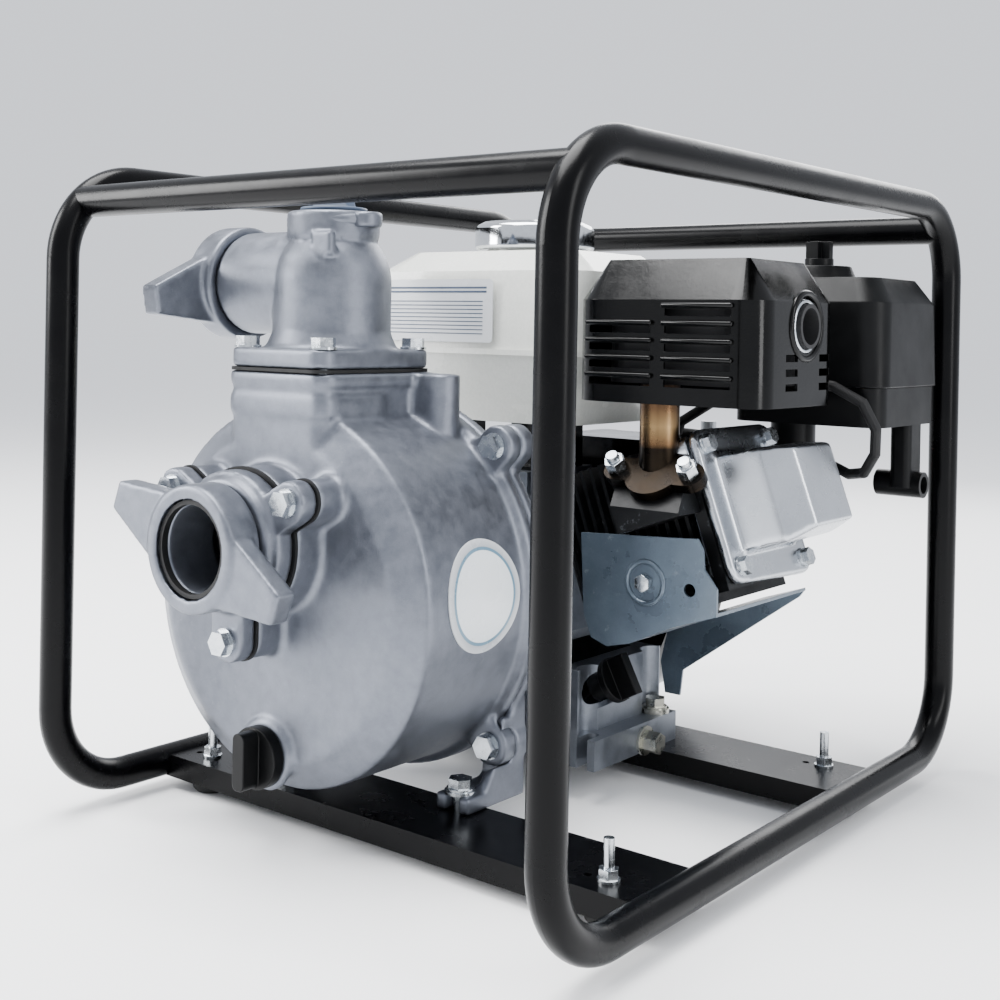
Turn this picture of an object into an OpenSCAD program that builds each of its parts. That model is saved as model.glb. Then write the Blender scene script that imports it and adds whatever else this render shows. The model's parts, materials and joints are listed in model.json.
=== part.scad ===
// Self-priming centrifugal trash pump driven by a small air-cooled petrol engine,
// carried in a bent-tube frame. The pump faces -Y, the engine's cylinder leans to +X.
// Origin: centre of the frame on the surface that the rubber feet stand on.

/* [Frame] */
// Width of the frame between tube centres, along X
frame_w = 380; // [360:2:400]
// Length of the frame between tube centres, along Y
frame_d = 482; // [470:2:500]
// Height of the frame between tube centres
frame_h = 386; // [380:2:400]
// Outside diameter of the frame tube
tube_d = 20; // [18:0.5:22]
// Wall of the frame tube
tube_wall = 1.8; // [1.2:0.1:2.5]
// Centreline radius of the frame's bends
bend_r = 52; // [45:1:60]
// How far the rubber feet stand below the tubes
foot_drop = 6; // [4:0.5:8]
// Width of the folded cross channels
channel_w = 61; // [58:0.5:64]
// Depth of the folded cross channels
channel_h = 14.5; // [12:0.5:16]

/* [Pump] */
// Shaft and pump centre, across the frame
shaft_x = -59; // [-61:0.5:-57]
// Radius of the pump casing
casing_r = 116; // [114:0.5:117]
// Wall of the pump casing
casing_wall = 7; // [6:0.5:8]
// Inside diameter of the suction and discharge ports
port_bore = 50; // [46:1:50]
// Outside radius of the wing nuts
ring_r = 37; // [36:0.5:38]
// Reach of the wing nuts' ears from their centre
ear_r = 74; // [66:1:76]
// Opening angle of the check valve flap
flap_open = 50; // [30:5:55]

/* [Engine] */
// Height of the crankshaft above the engine's base
crank_h = 106; // [105:0.5:107]
// Lean of the cylinder above horizontal, in degrees
cyl_tilt = 20; // [18:0.5:22]
// Half the stroke
crank_throw = 22.5; // [20:0.5:24]
// Diameter of the piston
piston_d = 68; // [66:0.5:70]
// Number of cooling fins on the cylinder and head
fin_count = 13; // [10:1:15]

/* [Hidden] */

$fn = 64;
tube_r = tube_d / 2;
rail_z = foot_drop + tube_r;
mid_z = rail_z + frame_h / 2;
channel_top = foot_drop + 15.5;
channel_t = 2.5;
front_channel_y = -125.5;
back_channel_y = 107;
stud_x = 158;
stud_offset = 14;
shaft_z = channel_top + crank_h;
casing_z = channel_top + 125.5;
suction_z = casing_z + 36;
casing_front = -182;
joint_y = -72;
lug_circle = 130;
riser_x = -60;
riser_y = -133;
riser_top = 283;
gasket_t = 2;
discharge_z = 338;
engine_y = 50;
head_tilt = [0, -cyl_tilt, 0];
m8_af = 13;

// ---------- helpers ----------

// Extrudes an outline drawn in X and Z from y0 to y1
module slab_y(y0, y1) {
    translate([0, y1, 0])
        rotate([90, 0, 0])
            linear_extrude(y1 - y0)
                children();
}

// Extrudes an outline drawn in Y and Z from x0 to x1
module slab_x(x0, x1) {
    translate([x0, 0, 0])
        rotate([90, 0, 90])
            linear_extrude(x1 - x0)
                children();
}

// Round bar along Y, centred at x, z
module rod_y(x, z, r, y0, y1, fn = 64) {
    translate([x, y0, z])
        rotate([-90, 0, 0])
            cylinder(r = r, h = y1 - y0, $fn = fn);
}

// Round bar along X, centred at y, z
module rod_x(y, z, r, x0, x1, fn = 64) {
    translate([x0, y, z])
        rotate([0, 90, 0])
            cylinder(r = r, h = x1 - x0, $fn = fn);
}

// Turned shape about an axis along Y: the outline's points are [radius, y]
module turned_y(x, z) {
    translate([x, 0, z])
        rotate([-90, 0, 0])
            rotate_extrude($fn = 96)
                children();
}

// Rectangle with rounded corners, from its low corner
module round_rect(w, d, r) {
    hull()
        for (x = [r, w - r], y = [r, d - r])
            translate([x, y])
                circle(r = r, $fn = 32);
}

// Hexagon head with a washer face, standing on z = 0
module hex_head(af, h) {
    cylinder(d = af * 1.28, h = 1.4, $fn = 48);
    translate([0, 0, 1.4])
        cylinder(d = af / cos(30), h = h - 1.4, $fn = 6);
}

// Bolt whose head stands on z = 0 and whose shank runs down
module bolt(d, af, h, len) {
    hex_head(af, h);
    translate([0, 0, -len])
        cylinder(d = d, h = len, $fn = 32);
}

// Places children at the head's own axes: X runs out along the cylinder
module at_cylinder() {
    translate([shaft_x, 0, shaft_z])
        rotate(head_tilt)
            children();
}

// ---------- frame ----------

// Closed loop of round bar in the Y-Z plane
module hoop(r) {
    hy = frame_d / 2 - bend_r;
    hz = frame_h / 2 - bend_r;
    translate([0, 0, mid_z])
        rotate([90, 0, 90]) {
            for (c = [[1, 1, 0], [-1, 1, 90], [-1, -1, 180], [1, -1, 270]])
                translate([c[0] * hy, c[1] * hz, 0])
                    rotate([0, 0, c[2]])
                        rotate_extrude(angle = 90, $fn = 64)
                            translate([bend_r, 0])
                                circle(r = r, $fn = 48);
            for (s = [-1, 1]) {
                translate([s * frame_d / 2, 0, 0])
                    rotate([90, 0, 0])
                        cylinder(r = r, h = 2 * hz, center = true, $fn = 48);
                translate([0, s * frame_h / 2, 0])
                    rotate([0, 90, 0])
                        cylinder(r = r, h = 2 * hy, center = true, $fn = 48);
            }
        }
}

module hoop_tube(x) {
    translate([x, 0, 0])
        difference() {
            hoop(tube_r);
            hoop(tube_r - tube_wall);
        }
}

// Cross rail let into both hoops halfway round their top bends
module top_rail(s) {
    y = s * (frame_d / 2 - bend_r * (1 - cos(45)));
    z = mid_z + frame_h / 2 - bend_r * (1 - sin(45));
    difference() {
        rod_x(y, z, tube_r, -frame_w / 2, frame_w / 2, 48);
        rod_x(y, z, tube_r - tube_wall, -frame_w, frame_w, 48);
        for (t = [-1, 1])
            translate([t * frame_w / 2, 0, 0])
                hoop(tube_r);
    }
}

// Folded steel channel, open downwards, welded between the bottom rails
module cross_channel(y, s, holes) {
    w = channel_w / 2;
    difference() {
        slab_x(-frame_w / 2, frame_w / 2)
            difference() {
                translate([y - w, channel_top - channel_h])
                    square([channel_w, channel_h]);
                translate([y - w + channel_t, channel_top - channel_h - 1])
                    square([channel_w - 2 * channel_t, channel_h + 1 - channel_t]);
            }
        for (t = [-1, 1]) {
            rod_x_rail(t);
            translate([t * stud_x, y + s * stud_offset, 0])
                cylinder(d = 6.4, h = 40, $fn = 32);
            translate([t * stud_x - 13, y + s * stud_offset, 0])
                cylinder(d = 4.5, h = 40, $fn = 32);
        }
        for (h = holes)
            translate([h[0], h[1], 0])
                cylinder(d = 8.4, h = 40, $fn = 32);
    }
}

module rod_x_rail(t) {
    translate([t * frame_w / 2, -frame_d, rail_z])
        rotate([-90, 0, 0])
            cylinder(r = tube_r, h = 2 * frame_d, $fn = 48);
}

pump_foot_holes = [[shaft_x - 88.5, -107], [shaft_x + 88.5, -107]];
engine_holes = [[shaft_x - 65, 96], [shaft_x + 100, 96]];
stud_places = [for (t = [-1, 1], c = [[front_channel_y, -1], [back_channel_y, 1]])
    [t * stud_x, c[0] + c[1] * stud_offset]];

module frame_hoop_right() {
    color("#17191d")
        hoop_tube(frame_w / 2);
}

module frame_hoop_left() {
    color("#17191d")
        hoop_tube(-frame_w / 2);
}

module front_top_rail() {
    color("#17191d")
        top_rail(-1);
}

module back_top_rail() {
    color("#17191d")
        top_rail(1);
}

module front_channel() {
    color("#15171b")
        cross_channel(front_channel_y, -1, pump_foot_holes);
}

module back_channel() {
    color("#15171b")
        cross_channel(back_channel_y, 1, engine_holes);
}

module rubber_feet() {
    top = channel_top - channel_t;
    color("#101010")
        for (p = stud_places)
            translate([p[0], p[1], 0])
                difference() {
                    rotate_extrude($fn = 64)
                        polygon([[0, 0], [10.5, 0], [12.5, 2], [13.4, top - 2], [13.4, top], [0, top]]);
                    translate([0, 0, 8])
                        cylinder(d = 6, h = 40, $fn = 32);
                }
}

// Threaded stud moulded into each foot, with its washer and nut
module foot_studs() {
    color("#b9bec4")
        for (p = stud_places)
            translate([p[0], p[1], 0]) {
                translate([0, 0, 8])
                    cylinder(d = 6, h = channel_top + 15, $fn = 32);
                difference() {
                    union() {
                        translate([0, 0, channel_top])
                            cylinder(d = 12.5, h = 1.6, $fn = 48);
                        translate([0, 0, channel_top + 1.6])
                            cylinder(d = 10 / cos(30), h = 5.2, $fn = 6);
                    }
                    translate([0, 0, channel_top - 1])
                        cylinder(d = 6, h = 20, $fn = 32);
                }
            }
}

// ---------- pump ----------

// Flange outline with three bolt lobes, drawn in X and Z
module lobed_outline(r, lobe_r, reach) {
    translate([shaft_x, suction_z]) {
        circle(r = r, $fn = 96);
        for (a = [30, 150, 270])
            rotate(a) {
                translate([reach, 0])
                    circle(r = lobe_r, $fn = 48);
                translate([0, -lobe_r])
                    square([reach, 2 * lobe_r]);
            }
    }
}

suction_reach = 57;
suction_lobe_r = 12.5;
suction_face = casing_front - 21;

function suction_bolts_xz() = [for (a = [30, 150, 270])
    [shaft_x + suction_reach * cos(a), suction_z + suction_reach * sin(a)]];
function lug_xz() = [for (a = [45, 135, 225, 315])
    [shaft_x + lug_circle * cos(a), casing_z + lug_circle * sin(a)]];
riser_bolts = [for (x = [-33, 33], y = [-40, 40]) [riser_x + x, riser_y + y]];

// Space between suction port and impeller eye, drawn in X and Z
module suction_well(r) {
    translate([shaft_x, suction_z])
        circle(r = r, $fn = 96);
    translate([shaft_x, shaft_z])
        circle(r = r, $fn = 96);
    translate([shaft_x - r, shaft_z])
        square([2 * r, suction_z - shaft_z]);
}

module lug_row(y0, y1, r) {
    slab_y(y0, y1)
        translate([shaft_x, casing_z])
            for (a = [45, 135, 225, 315])
                rotate(a) {
                    translate([lug_circle, 0])
                        circle(r = r, $fn = 48);
                    translate([casing_r - 18, -r])
                        square([lug_circle - casing_r + 18, 2 * r]);
                }
}

module pump_casing() {
    color("#9a9ca0")
        difference() {
            union() {
                difference() {
                    union() {
                        turned_y(shaft_x, casing_z)
                            polygon([[0, casing_front], [casing_r - 19, casing_front],
                                [casing_r, casing_front + 12], [casing_r, joint_y - 9],
                                [casing_r + 5, joint_y - 9], [casing_r + 5, joint_y], [0, joint_y]]);
                        casing_riser();
                        slab_y(suction_face, casing_front + 2)
                            lobed_outline(44, suction_lobe_r, suction_reach);
                        lug_row(joint_y - 12, joint_y, 13);
                        rod_y(shaft_x, 53, 21, casing_front - 4, casing_front + 2);
                    }
                    turned_y(shaft_x, casing_z)
                        polygon([[0, casing_front + casing_wall], [casing_r - 22, casing_front + casing_wall],
                            [casing_r - casing_wall, casing_front + 16], [casing_r - casing_wall, joint_y + 1],
                            [0, joint_y + 1]]);
                    translate([riser_x - 33, riser_y - 41, 240])
                        cube([66, 80, 60]);
                }
                slab_y(casing_front + 1, -136)
                    suction_well(39);
            }
            slab_y(casing_front + casing_wall, -140)
                suction_well(34);
            rod_y(shaft_x, suction_z, 34, suction_face - 1, -160);
            rod_y(shaft_x, shaft_z, 27, -141, -130);
            rod_y(shaft_x, 53, 13, casing_front - 6, casing_front + 12);
            for (p = suction_bolts_xz())
                rod_y(p[0], p[1], 4, suction_face - 1, suction_face + 18, 32);
            for (p = lug_xz())
                rod_y(p[0], p[1], 4, joint_y - 40, joint_y + 1, 32);
            for (p = riser_bolts)
                translate([p[0], p[1], riser_top - 22])
                    cylinder(d = 8, h = 40, $fn = 32);
            translate([riser_x + 38, -96, 256])
                cube([8, 9, 9]);
        }
    color("#9a9ca0")
        rod_x(flap_pin_y, flap_pin_z, 1.45, shaft_x - 18, shaft_x + 18, 24);
}

// Square outlet tower on top of the casing
module casing_riser() {
    translate([riser_x - 41, riser_y - 49, 200])
        linear_extrude(riser_top - 200)
            round_rect(82, 98, 9);
    translate([riser_x - 44, riser_y - 50, riser_top - 8])
        linear_extrude(8)
            round_rect(88, 101, 11);
    translate([riser_x - 43.5, riser_y - 50, 257])
        linear_extrude(11)
            round_rect(87, 60, 10);
    translate([riser_x, -91, 215])
        linear_extrude(riser_top - 216) {
            translate([55, 0])
                circle(r = 12, $fn = 48);
            translate([30, -12])
                square([25, 24]);
        }
}

module pump_foot(s) {
    x0 = shaft_x + s * 88.5 - 12.5;
    wall_x = s > 0 ? x0 + 17 : x0;
    difference() {
        union() {
            translate([x0, -115, channel_top])
                cube([25, 55, 10]);
            slab_x(wall_x, wall_x + 8)
                polygon([[-96, channel_top], [-96, channel_top + 13], [-91, channel_top + 22],
                    [-85, channel_top + 38], [-82, channel_top + 52], [joint_y, channel_top + 52],
                    [joint_y, channel_top + 62], [joint_y + 14, channel_top + 62], [joint_y + 14, channel_top]]);
            translate([x0, joint_y, channel_top])
                cube([25, 14, 40]);
        }
        translate([shaft_x + s * 88.5, -107, 0])
            cylinder(d = 8.4, h = 80, $fn = 32);
        translate([shaft_x + s * 88.5 - 3.9, -120, channel_top - 1])
            cube([7.8, 13, 12]);
        rod_y(shaft_x, casing_z, casing_r + 6, joint_y - 60, joint_y, 96);
        lug_row(joint_y - 60, joint_y, 13.6);
    }
}

// Back plate, bell and feet of the pump, bolted to the engine's face
module rear_cover() {
    color("#8f9195")
        difference() {
            union() {
                turned_y(shaft_x, casing_z)
                    polygon([[0, joint_y], [casing_r + 5, joint_y], [casing_r + 5, joint_y + 10],
                        [0, joint_y + 10]]);
                lug_row(joint_y, joint_y + 14, 13);
                turned_y(shaft_x, shaft_z)
                    polygon([[0, joint_y + 9], [88, joint_y + 9], [80, joint_y + 18], [80, -38], [0, -38]]);
                pump_foot(-1);
                pump_foot(1);
            }
            turned_y(shaft_x, shaft_z)
                polygon([[0, joint_y + 10], [70, joint_y + 10], [70, -37], [0, -37]]);
            rod_y(shaft_x, shaft_z, 12, joint_y - 1, -37);
            rod_y(shaft_x, shaft_z, 18, joint_y - 1, joint_y + 6);
            for (p = lug_xz())
                rod_y(p[0], p[1], 4, joint_y - 1, joint_y + 40, 32);
            for (s = [-1, 1])
                slab_y(-60, -40)
                    translate([shaft_x + s * 90 - 26, shaft_z - 22])
                        square([52, 44]);
        }
}

// All M8 hex bolts of the pump: flange, lugs, riser and feet
module pump_bolts() {
    color("#c3c8cc") {
        for (p = suction_bolts_xz())
            translate([p[0], suction_face - gasket_t - 12, p[1]])
                rotate([90, 0, 0])
                    bolt(8, m8_af, 7, 28);
        for (p = lug_xz())
            translate([p[0], joint_y - 12, p[1]])
                rotate([90, 0, 0])
                    bolt(8, m8_af, 7, 26);
        for (p = riser_bolts)
            translate([p[0], p[1], riser_top + gasket_t + 12])
                bolt(8, m8_af, 7, 30);
        for (p = pump_foot_holes)
            translate([p[0], p[1], channel_top + 10]) {
                translate([0, 0, 1.8])
                    bolt(8, m8_af, 7, 22);
                difference() {
                    cylinder(d = 19, h = 1.8, $fn = 48);
                    translate([0, 0, -1])
                        cylinder(d = 8, h = 4, $fn = 32);
                }
            }
    }
}

module volute() {
    color("#6d6f72")
        difference() {
            union() {
                rod_y(shaft_x, shaft_z, 26.8, -140, -126);
                rod_y(shaft_x, shaft_z, 80, -128, joint_y, 96);
            }
            rod_y(shaft_x, shaft_z, 72, -123, joint_y + 1, 96);
            rod_y(shaft_x, shaft_z, 23, -141, -120);
            slab_y(-118, joint_y - 6)
                translate([shaft_x - 30, shaft_z + 60])
                    square([60, 40]);
        }
}

module impeller() {
    color("#75777a")
        difference() {
            union() {
                rod_y(shaft_x, shaft_z, 65, -90, -85, 96);
                rod_y(shaft_x, shaft_z, 15, -114, -84);
                for (k = [0:2])
                    slab_y(-117, -88)
                        translate([shaft_x, shaft_z])
                            rotate(k * 120)
                                difference() {
                                    translate([34, 0])
                                        circle(r = 31, $fn = 64);
                                    translate([37, -5])
                                        circle(r = 30, $fn = 64);
                                }
            }
            rod_y(shaft_x, shaft_z, 8, -120, -80, 48);
        }
}

module mechanical_seal() {
    color("#3b3d40")
        turned_y(shaft_x, shaft_z)
            polygon([[10.05, -80], [14, -80], [14, joint_y], [17.9, joint_y], [17.9, joint_y + 6],
                [10.05, joint_y + 6]]);
}

module suction_flange() {
    y_face = suction_face - gasket_t;
    color("#a3a5a9")
        difference() {
            union() {
                slab_y(y_face - 12, y_face)
                    lobed_outline(43, suction_lobe_r, suction_reach);
                turned_y(shaft_x, suction_z)
                    polygon([[0, -222.5], [38, -222.5], [41, y_face - 11], [0, y_face - 11]]);
                rod_y(shaft_x, suction_z, 30, -240, y_face - 4);
            }
            rod_y(shaft_x, suction_z, port_bore / 2, -241, y_face + 1);
            for (p = suction_bolts_xz())
                rod_y(p[0], p[1], 4, y_face - 14, y_face + 1, 32);
        }
}

module suction_gasket() {
    color("#141414")
        difference() {
            slab_y(suction_face - gasket_t, suction_face)
                lobed_outline(44.6, suction_lobe_r + 0.6, suction_reach);
            rod_y(shaft_x, suction_z, 31, -215, -195);
            for (p = suction_bolts_xz())
                rod_y(p[0], p[1], 4, -215, -195, 32);
        }
}

flap_pin_y = suction_face + 4;
flap_pin_z = suction_z + 30;

// Weighted rubber flap that hangs behind the suction port
module check_valve_flap() {
    color("#1b1b1b") {
        difference() {
            union() {
                rod_y(shaft_x, suction_z, 27.5, suction_face + 2, suction_face + 6);
                translate([shaft_x - 7, suction_face + 2, suction_z + 20])
                    cube([14, 4, 12]);
            }
            rod_x(flap_pin_y, flap_pin_z, 1.5, shaft_x - 20, shaft_x + 20, 24);
        }
        rod_y(shaft_x, suction_z, 14, suction_face + 6, suction_face + 10);
    }
}

// One ear of a wing nut, drawn about the nut's centre, pointing along X
module ear_outline() {
    polygon([[20, -27], [32, -21], [ear_r, -9], [ear_r, 9], [32, 21], [20, 27]]);
}

// Wing nut with its open face at z = 0 and its body running up
module wing_nut(turn) {
    difference() {
        union() {
            rotate_extrude($fn = 96)
                polygon([[0, 0.8], [ring_r - 1.5, 0.8], [ring_r, 2.5], [ring_r, 22], [ring_r - 1, 23.5], [0, 23.5]]);
            for (a = [turn, turn + 180])
                rotate(a)
                    translate([0, 0, 3])
                        linear_extrude(14)
                            ear_outline();
        }
        translate([0, 0, 3])
            cylinder(r = 30.35, h = 40, $fn = 96);
        translate([0, 0, -1])
            cylinder(r = 28.4, h = 10, $fn = 96);
    }
}

module suction_wing_nut() {
    color("#a6a8ac")
        translate([shaft_x, -247.6, suction_z])
            rotate([-90, 0, 0])
                wing_nut(20);
}

discharge_x = -158;

module discharge_wing_nut() {
    color("#9fa1a6")
        translate([discharge_x, riser_y, discharge_z])
            rotate([0, 90, 0])
                wing_nut(100);
}

// Rubber washer on the end of each port
module port_seals() {
    color("#131313") {
        turned_y(shaft_x, suction_z)
            polygon([[25.4, -244], [28, -244], [28, -240], [25.4, -240]]);
        difference() {
            rod_x(riser_y, discharge_z, 28, discharge_x + 3.6, discharge_x + 7.6);
            rod_x(riser_y, discharge_z, 25.4, discharge_x, discharge_x + 10);
        }
    }
}

module riser_gasket() {
    color("#141414")
        difference() {
            translate([riser_x - 42, riser_y - 50.6, riser_top])
                linear_extrude(gasket_t)
                    round_rect(84, 101, 10);
            translate([riser_x - 30, riser_y - 36, riser_top - 1])
                linear_extrude(4)
                    round_rect(60, 72, 14);
            for (p = riser_bolts)
                translate([p[0], p[1], riser_top - 1])
                    cylinder(d = 8, h = 10, $fn = 32);
        }
}

boss_z = 366;

// Outlet elbow that turns from up to -X, with a filling boss on top
module discharge_elbow() {
    base = riser_top + gasket_t;
    color("#9d9fa4")
        difference() {
            union() {
                translate([riser_x - 42, riser_y - 50, base])
                    linear_extrude(12)
                        round_rect(84, 100, 11);
                translate([riser_x, riser_y, base + 10]) {
                    cylinder(r1 = 42, r2 = 37, h = 12, $fn = 96);
                    cylinder(r = 37, h = discharge_z - base - 10, $fn = 96);
                }
                translate([riser_x, riser_y, discharge_z])
                    sphere(r = 37, $fn = 96);
                rod_x(riser_y, discharge_z, 33, discharge_x + 26, riser_x);
                rod_x(riser_y, discharge_z, 30, discharge_x + 7.6, riser_x);
                translate([riser_x, riser_y, discharge_z + 20])
                    cylinder(r = 22, h = 14, $fn = 64);
                translate([riser_x, riser_y, boss_z])
                    cylinder(r = 29, h = 16, $fn = 96);
                translate([riser_x + 10, riser_y - 29, boss_z - 12])
                    cube([16, 6, 14]);
            }
            translate([riser_x, riser_y, base - 1])
                cylinder(r = 29, h = discharge_z - base + 1, $fn = 96);
            translate([riser_x, riser_y, discharge_z])
                sphere(r = 29, $fn = 96);
            rod_x(riser_y, discharge_z, port_bore / 2, discharge_x, riser_x);
            translate([riser_x, riser_y, discharge_z + 10])
                cylinder(r = 18, h = 60, $fn = 64);
            for (p = riser_bolts)
                translate([p[0], p[1], base - 1])
                    cylinder(d = 8, h = 14, $fn = 32);
        }
}

module priming_plug() {
    top = boss_z + 16;
    color("#56657a") {
        translate([riser_x, riser_y, top - 18])
            cylinder(r = 17.6, h = 18, $fn = 64);
        translate([riser_x, riser_y, top + 0.3])
            cylinder(r = 21, h = 2.5, $fn = 64);
        translate([riser_x, riser_y, top - 1])
            cylinder(r = 17.6, h = 3, $fn = 64);
        translate([riser_x - 16, riser_y - 4, top + 2])
            rotate([90, 0, 0])
                translate([0, 0, -8])
                    linear_extrude(8)
                        polygon([[0, 0], [32, 0], [30, 6], [24, 7], [8, 7], [2, 6]]);
    }
}

module drain_plug() {
    face = casing_front - 4;
    color("#0f1012") {
        rod_y(shaft_x, 53, 12.6, face, face + 14);
        rod_y(shaft_x, 53, 18.5, face - 8, face - 0.3);
        rod_y(shaft_x, 53, 12.6, face - 2, face + 1);
        slab_y(face - 20, face - 7)
            translate([shaft_x - 5, 53 - 17])
                round_rect(10, 34, 4);
    }
}

// Plain oval badge that follows the side of the casing
module pump_badge() {
    color("#dfe6ea")
        intersection() {
            difference() {
                turned_y(shaft_x, casing_z)
                    polygon([[casing_r, -160], [casing_r + 0.8, -160], [casing_r + 0.8, -80], [casing_r, -80]]);
            }
            translate([shaft_x, -121, casing_z + 8])
                rotate([0, 90, 0])
                    cylinder(r = 33, h = 300, $fn = 96);
        }
}

// ---------- engine ----------

crank_front = -38;

engine_pockets = concat(engine_holes, [[shaft_x - 65, 18], [shaft_x + 100, 18]]);

// Cast engine block with its base, hollow for the crank
module crankcase() {
    color("#8d9297")
        difference() {
            union() {
                translate([shaft_x - 79, 5, channel_top])
                    cube([189, 103, 20]);
                translate([shaft_x - 72, 5, channel_top + 18])
                    cube([168, 103, 46]);
                rod_y(shaft_x, shaft_z, 80, 5, 108, 96);
                at_cylinder()
                    translate([40, 8, -46])
                        cube([52, 94, 92]);
                translate([shaft_x - 60, 20, shaft_z + 40])
                    cube([100, 80, 44]);
                for (a = [60, 150, 210, 330])
                    rod_y(shaft_x + 70 * cos(a), shaft_z + 70 * sin(a), 8, 104, 112, 48);
                at_dipstick()
                    translate([0, 0, -26])
                        cylinder(r = 13, h = 26, $fn = 48);
            }
            rod_y(shaft_x, shaft_z, 70, 4, 101, 96);
            translate([shaft_x - 50, 12, channel_top + 28])
                cube([130, 84, 50]);
            rod_y(shaft_x, shaft_z, 12.45, 100, 110);
            at_cylinder()
                translate([30, engine_y, 0])
                    rotate([0, 90, 0])
                        cylinder(d = piston_d + 0.2, h = 80, $fn = 96);
            for (p = engine_holes)
                translate([p[0], p[1], 0])
                    cylinder(d = 8, h = channel_top + 21, $fn = 32);
            for (p = engine_pockets)
                translate([p[0], p[1], channel_top + 20])
                    cylinder(r = 11.5, h = 44.5, $fn = 48);
            for (x = [shaft_x - 65, shaft_x + 100])
                translate([x - 4.2, 0, channel_top - 1]) {
                    cube([8.4, 18, 23]);
                    translate([4.2, 18, 0])
                        cylinder(d = 8.4, h = 23, $fn = 32);
                }
            translate([shaft_x - 50, 14, channel_top - 1])
                cube([120, 60, 8]);
            at_dipstick()
                translate([0, 0, -44])
                    cylinder(r = 9.5, h = 50, $fn = 48);
        }
}

// Places children at the mouth of the oil filler, Z outwards
module at_dipstick() {
    translate([47, 30, 76])
        rotate([0, 62, 0])
            children();
}

// Round cover on the drive side, which the pump bolts to
module crankcase_cover() {
    color("#9ba0a4")
        difference() {
            union() {
                turned_y(shaft_x, shaft_z)
                    polygon([[0, crank_front], [79, crank_front], [79, crank_front + 14], [84, -4], [84, 5], [0, 5]]);
                translate([shaft_x - 60, -8, channel_top + 22])
                    cube([136, 13, 50]);
            }
            turned_y(shaft_x, shaft_z)
                polygon([[0, crank_front + 8], [60, crank_front + 8], [70, 6], [0, 6]]);
            rod_y(shaft_x, shaft_z, 12.45, crank_front - 1, 6);
        }
}

// Base bolts on the back channel, with the drain plug in the base's side
module engine_bolts() {
    color("#b08d6a") {
        for (p = engine_holes)
            translate([p[0], p[1], channel_top + 20]) {
                translate([0, 0, 3.2])
                    bolt(8, m8_af, 7, 32);
                difference() {
                    cylinder(d = 20, h = 3.2, $fn = 48);
                    translate([0, 0, -1])
                        cylinder(d = 8, h = 5, $fn = 32);
                }
            }
    }
    color("#b9bec4")
        translate([shaft_x + 110, 66, channel_top + 8])
            rotate([0, 90, 0]) {
                cylinder(d = 20, h = 2, $fn = 48);
                translate([0, 0, 2])
                    cylinder(d = 13 / cos(30), h = 11, $fn = 6);
            }
}

module crankshaft() {
    color("#8a8c8f") {
        rod_y(shaft_x, shaft_z, 8, -118, -90, 48);
        rod_y(shaft_x, shaft_z, 8, -90, -66, 48);
        rod_y(shaft_x, shaft_z, 10, -66, engine_y - 22, 48);
        rod_y(shaft_x, shaft_z, 12.4, crank_front, engine_y - 22, 48);
        rod_y(shaft_x, shaft_z, 12.4, engine_y + 22, 112, 48);
        rod_y(shaft_x, shaft_z, 10, 112, 168, 48);
        for (y = [engine_y - 24, engine_y + 12])
            slab_y(y, y + 12)
                translate([shaft_x, shaft_z]) {
                    circle(r = 24, $fn = 64);
                    rotate(180 + cyl_tilt)
                        translate([0, -22])
                            square([36, 44]);
                    rotate(cyl_tilt)
                        translate([0, -15])
                            square([34, 30]);
                }
        rod_y(shaft_x + crank_throw * cos(cyl_tilt), shaft_z + crank_throw * sin(cyl_tilt),
            15, engine_y - 13, engine_y + 13, 48);
    }
}

// Piston with its pin bore, at the top of its stroke
module piston() {
    color("#b7b9bb")
        at_cylinder()
            difference() {
                translate([88, engine_y, 0])
                    rotate([0, 90, 0])
                        cylinder(d = piston_d, h = 46, $fn = 96);
                translate([80, engine_y, 0])
                    rotate([0, 90, 0])
                        cylinder(d = piston_d - 10, h = 44, $fn = 96);
                translate([106, engine_y, 0])
                    rotate([90, 0, 0])
                        cylinder(d = 18, h = 100, center = true, $fn = 48);
            }
}

head_out = 202;
barrel_end = 136;
fin_pitch = (head_out - 104) / fin_count;
port_u = 172;
port_w = 6;
carb_x = shaft_x + port_u * cos(cyl_tilt) - port_w * sin(cyl_tilt);
carb_z = shaft_z + port_u * sin(cyl_tilt) + port_w * cos(cyl_tilt);

// Places children on the spark plug's boss, Z outwards
module at_plug() {
    translate([112, 98, 220])
        rotate([0, 84, 66])
            children();
}

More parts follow.
